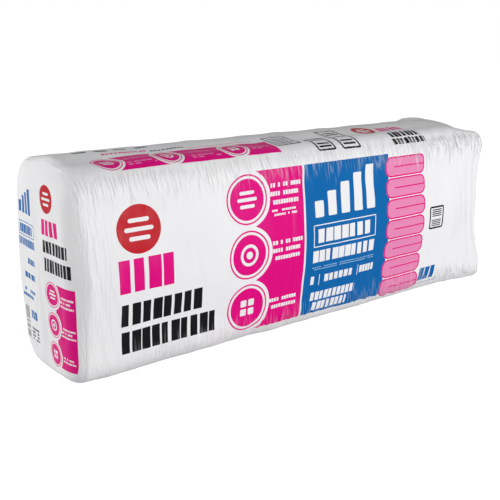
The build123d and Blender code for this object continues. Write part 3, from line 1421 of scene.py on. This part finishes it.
@dataclass
class FoldedBatts:
    """The eight batts, each folded over on itself and pressed into the film."""

    sizes: BundleSizes
    film: bpy.types.Object
    count: int = 8
    clearance: float = 0.0024
    gap: float = 0.0006
    leaf_gap: float = 0.0008
    leaf_stations: int = 70
    fold_stations: int = 11
    crowding: float = 1.15
    face_rows: int = 22
    edge_rows: int = 4
    edge_start: float = 0.93
    edge_round: float = 0.25
    tail_spread: float = 0.9
    fluff: Lumps = Lumps(0.0004, 0.2, 5, 6)
    fluff_stretch: float = 7.0
    core_reach: float = 0.45
    gusset_slack: float = 0.006
    slack_span: Span = (0.45, 0.55)

    def __post_init__(self) -> None:
        """Reads the film's inside, which the batts fill."""
        self.skin = BVHTree.FromObject(self.film, bpy.context.evaluated_depsgraph_get())

    def reach(self, start: Point, towards: Point) -> float:
        """How far the film is from a point inside it in one direction, less the batts' clearance."""
        distance = self.skin.ray_cast(Vector(start), Vector(towards))[3]
        return max((distance or 0.0) - self.clearance, 0.0)

    def held(self, point: Point) -> Point:
        """Moves a point that lies outside the film in towards the bag's middle line.

        Args:
            point: The point.

        Returns:
            The point itself, or the nearest place to it that is inside the film.
        """
        core = Vector((min(max(point[0], -self.core_reach), self.core_reach), 0, self.sizes.middle_z))
        away = Vector(point) - core
        if away.length < self.leaf_gap:
            return point
        limit = self.reach(core, away.normalized())
        return point if away.length <= limit else tuple(core + away.normalized() * limit)

    def slack(self, x: float) -> float:
        """How much more room the batts leave in the gathered end, whose film is deeply folded."""
        return self.gusset_slack * float(smooth_step(np.array(x), *self.slack_span))

    def half_depth(self, x: float, z: float) -> float:
        """Half the depth that the stack of batts may fill at a place."""
        return min(self.reach((x, 0, z), (0, side, 0)) for side in (-1, 1)) - self.slack(x)

    def stations(self, nose_x: float, tail_x: float, thick: float) -> list[Point]:
        """The stops along a batt's fold, from one leaf's end round to the other's.

        Args:
            nose_x: Where the fold is nearest to the folded end.
            tail_x: Where the leaves end.
            thick: The thickness of one leaf.

        Returns:
            For each stop its pivot's x, and how far the fold has turned there as cosine and sine.
        """
        pivot = nose_x + thick
        shares = [(i / self.leaf_stations) ** self.crowding for i in range(self.leaf_stations, 0, -1)]
        leaf = [pivot + (tail_x - pivot) * share for share in shares]
        turns = [math.pi * (i / (self.fold_stations - 1) - 0.5) for i in range(self.fold_stations)]
        return [
            *((x, 0.0, -1.0) for x in leaf),
            *((pivot, math.cos(turn), math.sin(turn)) for turn in turns),
            *((x, 0.0, 1.0) for x in reversed(leaf)),
        ]

    def outline(self, index: int, thick: float, stop: Point) -> list[Point]:
        """The outline of a leaf at one stop: its outer face, its top edge, its inner face and its foot.

        Args:
            index: The batt's place in the stack.
            thick: The thickness of one leaf.
            stop: The stop's pivot and turn.

        Returns:
            The outline's points.
        """
        x, turn_x, turn_y = stop
        s = self.sizes
        middle = (2 * index + 1) / self.count - 1
        centre_y = middle * self.half_depth(x, s.middle_z)
        spots = [(x, centre_y + side * thick, s.middle_z) for side in (-1, -0.5, 0, 0.5, 1)]
        high = min(self.reach(spot, (0, 0, 1)) for spot in spots) - self.slack(x)
        low = min(self.reach(spot, (0, 0, -1)) for spot in spots)
        outer_face, inner_face = [], []
        for share in np.linspace(0, 1, self.face_rows):
            z = s.middle_z - low + (low + high) * share
            depth = self.half_depth(x, z)
            near_edge = max(abs(share - 0.5) * 2 - self.edge_start, 0) / (1 - self.edge_start)
            place = (np.array(x * self.fluff_stretch + turn_y), np.array(z * self.fluff_stretch + index))
            loss = thick * self.edge_round * near_edge + abs(float(self.fluff.at(*place)))
            outer = depth / self.count - self.gap / 2 - loss
            for face, radius in ((outer_face, outer), (inner_face, self.leaf_gap / 2)):
                face.append((x - radius * turn_x, middle * depth + radius * turn_y, z))
        top = self.edge(outer_face[-1], inner_face[-1])
        foot = self.edge(inner_face[0], outer_face[0])
        return outer_face + top + inner_face[::-1] + foot

    def build_one(self, index: int) -> bpy.types.Object:
        """Builds one batt.

        Args:
            index: Its place in the stack, 0 at the printed front.

        Returns:
            The batt's closed mesh.
        """
        s = self.sizes
        front_y = ((2 * index + 1) / self.count - 1) * s.edge_y
        nose = self.reach((0, front_y, s.middle_z), (-1, 0, 0))
        tail = self.reach((0, front_y * self.tail_spread, s.middle_z), (1, 0, 0))
        thick = s.edge_y / self.count
        outlines = [self.outline(index, thick, stop) for stop in self.stations(-nose, tail, thick)]
        around = len(outlines[0])
        last = (len(outlines) - 1) * around
        skins = [
            (i + j, i + around + j, i + around + (j + 1) % around, i + (j + 1) % around)
            for i in range(0, last, around) for j in range(around)
        ]
        skins += self.end_faces(0, False) + self.end_faces(last, True)
        points = np.array([self.held(point) for outline in outlines for point in outline])
        made = mesh_object(f"wool_batt_{index + 1}", points, skins)
        LOG.info("%s: %d faces", made.name, len(skins))
        return made

    def edge(self, start: Point, end: Point) -> list[Point]:
        """Points between two faces of a leaf, across its narrow edge."""
        shares = [(i + 1) / (self.edge_rows + 1) for i in range(self.edge_rows)]
        return [tuple(a + (b - a) * share for a, b in zip(start, end)) for share in shares]

    def end_faces(self, first: int, turned: bool) -> list[tuple[int, ...]]:
        """Closes a leaf's end with a strip of faces between its outer and inner rows.

        Args:
            first: The number of the end outline's first vertex.
            turned: Whether the faces are wound the other way.

        Returns:
            The strip's faces.
        """
        outer_top = first + self.face_rows - 1
        inner_top = outer_top + self.edge_rows + 1
        inner_foot = inner_top + self.face_rows - 1
        made = [
            (first + j, first + j + 1, inner_foot - j - 1, inner_foot - j) for j in range(self.face_rows - 1)
        ]
        made.append(tuple(range(outer_top, inner_top + 1)))
        made.append((first, *range(inner_foot, inner_foot + self.edge_rows + 1)))
        return [face[::-1] for face in made] if turned else made


@dataclass(frozen=True)
class Lamp:
    """A square soft light that faces the bundle: its place, the length of its side and its watts."""

    name: str
    place: Point
    size: float
    power: float


@dataclass
class Studio:
    """The camera, the floor and the lights."""

    lens: float = 56.64
    sensor: float = 36.0
    eye: Point = (-1.1706, -1.3442, 0.6287)
    gaze: Point = (0.6007, 0.7558, -0.2607)
    lamps: tuple[Lamp, ...] = (
        Lamp("front_light", (0.7, -3.35, 0.95), 1.3, 86.0),
        Lamp("left_light", (-3.0, 1.3, 1.05), 1.6, 53.0),
        Lamp("back_light", (-1.5, 2.25, 2.1), 1.2, 19.0),
    )
    lit_point: Point = (0.0, 0.0, 0.2)
    white: Colour = (1.0, 1.0, 1.0, 1.0)
    world_light: float = 0.2
    glossy_white: float = 0.12
    floor_size: float = 30.0
    floor_grey: Colour = (0.62, 0.62, 0.62, 1.0)
    floor_roughness: float = 0.9
    floor_gloss: float = 0.1
    floor_white: float = 0.92

    @staticmethod
    def placed(name: str, data: bpy.types.ID, place: Point, gaze: Vector) -> bpy.types.Object:
        """Adds a camera or a lamp.

        Args:
            name: Its name.
            data: What it shows or lights with.
            place: Where it stands.
            gaze: The direction that it looks in.

        Returns:
            The new object, linked to the scene.
        """
        made = bpy.data.objects.new(name, data)
        made.location = place
        made.rotation_mode = "QUATERNION"
        made.rotation_quaternion = gaze.to_track_quat("-Z", "Y")
        bpy.context.scene.collection.objects.link(made)
        return made

    def camera(self) -> None:
        """Puts the camera where the photograph was taken from."""
        data = bpy.data.cameras.new("camera")
        data.lens = self.lens
        data.sensor_width = self.sensor
        bpy.context.scene.camera = self.placed("camera", data, self.eye, Vector(self.gaze))

    def lamp(self, lamp: Lamp) -> None:
        """Adds one lamp, turned to the bundle.

        Args:
            lamp: The lamp.
        """
        data = bpy.data.lights.new(lamp.name, "AREA")
        data.size = lamp.size
        data.energy = lamp.power
        self.placed(lamp.name, data, lamp.place, Vector(self.lit_point) - Vector(lamp.place))

    def shown_white(self, tree: ShaderTree) -> Socket:
        """How much plain white a ray sees: all for the camera's, little for a glossy one.

        Args:
            tree: The world's or the floor's nodes.

        Returns:
            The share of white.
        """
        path = tree.node("ShaderNodeLightPath").outputs
        glossy = tree.math("MULTIPLY", path["Is Glossy Ray"], self.glossy_white)
        return tree.chain("MAXIMUM", path["Is Camera Ray"], path["Is Transmission Ray"], glossy)

    def world(self) -> None:
        """Lights the object evenly, and shows the camera and clear reflections plain white."""
        world = bpy.data.worlds.new("world")
        bpy.context.scene.world = world
        world.use_nodes = True
        tree = ShaderTree(world.node_tree)
        light = world.node_tree.nodes["Background"]
        tree.feed(light, {"Color": self.white, "Strength": self.world_light})
        white = tree.node("ShaderNodeBackground", links={"Color": self.white, "Strength": 1.0})
        mixed = tree.node("ShaderNodeMixShader", links={
            0: self.shown_white(tree), 1: light.outputs[0], 2: white.outputs[0]})
        tree.feed(world.node_tree.nodes["World Output"], {"Surface": mixed.outputs[0]})

    def floor(self) -> None:
        """Adds a pale floor that stays white to the camera away from the object's shadow."""
        bpy.ops.mesh.primitive_plane_add(size=self.floor_size)
        plane = bpy.context.object
        plane.name = "floor"
        made, tree, shader = new_material("floor")
        tree.feed(shader, {"Base Color": self.floor_grey, "Roughness": self.floor_roughness})
        tree.feed(shader, {"Specular IOR Level": self.floor_gloss})
        seen = tree.math("MULTIPLY", self.shown_white(tree), self.floor_white)
        glow = tree.node("ShaderNodeEmission", links={"Color": self.white, "Strength": seen})
        added = tree.node("ShaderNodeAddShader", links={0: shader.outputs[0], 1: glow.outputs[0]})
        tree.feed(made.node_tree.nodes["Material Output"], {"Surface": added.outputs[0]})
        plane.data.materials.append(made)

    def build(self) -> None:
        """Builds the whole studio."""
        self.camera()
        self.world()
        self.floor()
        for lamp in self.lamps:
            self.lamp(lamp)


def main() -> None:
    """Builds the bundle and its studio."""
    logging.basicConfig(level=logging.INFO, format="%(message)s")
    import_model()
    sizes = BundleSizes()
    film = FilmBag(sizes).build()
    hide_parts("film_bag")
    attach(film, ROOT)
    press = PrintPress()
    finish = FilmFinish()
    films = {chart: finish.material(chart, press) for chart in Chart}
    for chart in Chart:
        film.data.materials.append(films[chart])
    fin = SealFin(sizes).build(films[Chart.PLAIN])
    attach(fin, ROOT)
    wool = WoolFinish().material()
    batts = FoldedBatts(sizes, film)
    for index in range(batts.count):
        batt = batts.build_one(index)
        batt.data.materials.append(wool)
        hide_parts(f"batt_{index + 1}")
        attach(batt, ROOT)
    Studio().build()
    bpy.context.scene.view_settings.view_transform = "Standard"


if __name__ == "__main__":
    main()
